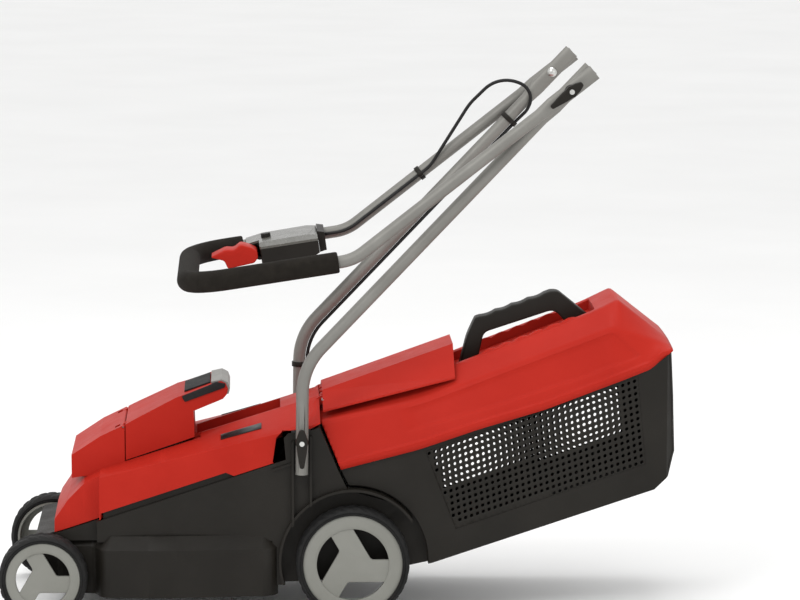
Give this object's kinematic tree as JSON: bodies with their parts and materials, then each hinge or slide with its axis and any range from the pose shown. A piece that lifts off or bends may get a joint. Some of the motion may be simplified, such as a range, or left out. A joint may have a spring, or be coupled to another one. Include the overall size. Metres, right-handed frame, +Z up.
{
  "type": "push lawn mower",
  "caption": "Cordless push lawn mower: sloped red hood on a black deck, four wheels, folding U handle and a rear grass box with perforated sides.",
  "frame": {"origin": "centre of the bounding box at ground level, under the wheels", "axes": "+X forward, +Y to the operator's left, +Z up; the handle is folded forward at rest"},
  "size_m": [1.0728, 0.418, 0.8826],
  "materials": {
    "red_plastic": "satin",
    "black_plastic": "matte",
    "tube_grey": "satin",
    "hub_grey": "satin",
    "tyre_black": "matte",
    "foam_black": "matte",
    "grip_rubber": "matte",
    "box_grey": "satin",
    "light_grey": "satin",
    "zinc_steel": "polished",
    "axle_steel": "brushed",
    "blade_steel": "satin",
    "motor_steel": "satin",
    "cable_black": "satin",
    "badge_black": "gloss",
    "battery_black": "matte"
  },
  "bodies": {
    "chassis": {"deck_shell": "black_plastic", "hood": "red_plastic", "badges": "badge_black", "cover_hinge_pin": "axle_steel", "battery_tray": "black_plastic", "battery_pack_left": "battery_black", "battery_pack_right": "battery_black", "control_box": "black_plastic", "motor_plate": "motor_steel", "motor_can": "motor_steel", "motor_screws": "zinc_steel", "lower_tube_left": "tube_grey", "lower_tube_right": "tube_grey", "base_bolts": "zinc_steel", "fold_bolts": "zinc_steel", "flap_hinge_pin": "axle_steel", "cable_loop": "cable_black", "cable_lower": "cable_black", "cable_clips_lower": "black_plastic"},
    "upper_handle": {"handle_loop": "tube_grey", "foam_grip": "foam_black", "switch_box_top": "box_grey", "switch_box_bottom": "black_plastic", "switch_box_clamp": "black_plastic", "lever_pin": "axle_steel", "cable_clip_upper": "black_plastic", "cable_upper": "cable_black"},
    "switch_lever": {"switch_lever": "red_plastic"},
    "lock_button": {"lock_button": "black_plastic"},
    "knob_base_left": {"wing_knob_base_left": "black_plastic"},
    "knob_base_right": {"wing_knob_base_right": "black_plastic"},
    "knob_fold_left": {"wing_knob_fold_left": "black_plastic"},
    "knob_fold_right": {"wing_knob_fold_right": "black_plastic"},
    "front_axle": {"axle_front": "axle_steel", "axle_clips_front": "zinc_steel"},
    "rear_axle": {"axle_rear": "axle_steel", "axle_clips_rear": "zinc_steel"},
    "blade_unit": {"motor_shaft": "motor_steel", "blade_carrier": "motor_steel", "blade": "blade_steel", "blade_bolt": "zinc_steel"},
    "rear_flap": {"rear_flap": "red_plastic"},
    "grass_box": {"box_lid": "red_plastic", "box_basket": "black_plastic", "grille_left": "black_plastic", "grille_right": "black_plastic", "box_handle": "black_plastic"},
    "battery_cover": {"battery_cover": "red_plastic", "cover_grip_strips": "grip_rubber", "cover_grip_pad": "grip_rubber", "cover_end_cap": "light_grey"},
    "wheel_front_left": {"tyre_front_left": "tyre_black", "rim_front_left": "hub_grey"},
    "wheel_front_right": {"tyre_front_right": "tyre_black", "rim_front_right": "hub_grey"},
    "wheel_rear_left": {"tyre_rear_left": "tyre_black", "rim_rear_left": "hub_grey"},
    "wheel_rear_right": {"tyre_rear_right": "tyre_black", "rim_rear_right": "hub_grey"}
  },
  "joints": [
    {"name": "handle_fold", "type": "hinge", "parent": "chassis", "child": "upper_handle", "pos_m": [-0.3625, 0, 0.84], "axis": [0, -1, 0], "range_deg": [0, 172], "deforming": ["cable_loop"]},
    {"name": "knob_base_left_turn", "type": "hinge", "parent": "chassis", "child": "knob_base_left", "pos_m": [0.0575, 0.18, 0.287], "axis": [0, 1, 0], "continuous": true},
    {"name": "knob_fold_left_turn", "type": "hinge", "parent": "chassis", "child": "knob_fold_left", "pos_m": [-0.3625, 0.195, 0.84], "axis": [0, 1, 0], "continuous": true},
    {"name": "knob_base_right_turn", "type": "hinge", "parent": "chassis", "child": "knob_base_right", "pos_m": [0.0575, -0.18, 0.287], "axis": [0, 1, 0], "continuous": true},
    {"name": "knob_fold_right_turn", "type": "hinge", "parent": "chassis", "child": "knob_fold_right", "pos_m": [-0.3625, -0.195, 0.84], "axis": [0, 1, 0], "continuous": true},
    {"name": "switch_pull", "type": "hinge", "parent": "upper_handle", "child": "switch_lever", "pos_m": [0.13146, -0.09, 0.55164], "axis": [0, 1, 0], "range_deg": [0, 14], "stiffness_Nm_per_rad": 0.8, "springref_deg": -14.32},
    {"name": "lock_press", "type": "slide", "parent": "upper_handle", "child": "lock_button", "axis": [-0.148, 0, -0.989], "range_m": [0, 0.004], "stiffness_N_per_m": 400, "springref_m": -0.003},
    {"name": "front_height", "type": "slide", "parent": "chassis", "child": "front_axle", "axis": [0, 0, 1], "range_m": [-0.018, 0.018]},
    {"name": "rear_height", "type": "slide", "parent": "chassis", "child": "rear_axle", "axis": [0, 0, 1], "range_m": [-0.018, 0.018]},
    {"name": "wheel_front_left_roll", "type": "hinge", "parent": "front_axle", "child": "wheel_front_left", "pos_m": [0.4665, 0.163, 0.07], "axis": [0, 1, 0], "continuous": true},
    {"name": "wheel_front_right_roll", "type": "hinge", "parent": "front_axle", "child": "wheel_front_right", "pos_m": [0.4665, -0.163, 0.07], "axis": [0, 1, 0], "continuous": true},
    {"name": "wheel_rear_left_roll", "type": "hinge", "parent": "rear_axle", "child": "wheel_rear_left", "pos_m": [-0.0225, 0.163, 0.09], "axis": [0, 1, 0], "continuous": true},
    {"name": "wheel_rear_right_roll", "type": "hinge", "parent": "rear_axle", "child": "wheel_rear_right", "pos_m": [-0.0225, -0.163, 0.09], "axis": [0, 1, 0], "continuous": true},
    {"name": "blade_spin", "type": "hinge", "parent": "chassis", "child": "blade_unit", "pos_m": [0.2815, 0, 0.056], "axis": [0, 0, 1], "continuous": true},
    {"name": "flap_lift", "type": "hinge", "parent": "chassis", "child": "rear_flap", "pos_m": [0.0215, 0, 0.335], "axis": [0, 1, 0], "range_deg": [0, 46]},
    {"name": "box_lift_off", "type": "slide", "parent": "chassis", "child": "grass_box", "axis": [-0.9636, 0, 0.2672], "range_m": [0, 0.26]},
    {"name": "cover_lift", "type": "hinge", "parent": "chassis", "child": "battery_cover", "pos_m": [0.341, 0, 0.296], "axis": [0, 1, 0], "range_deg": [0, 75]}
  ]
}
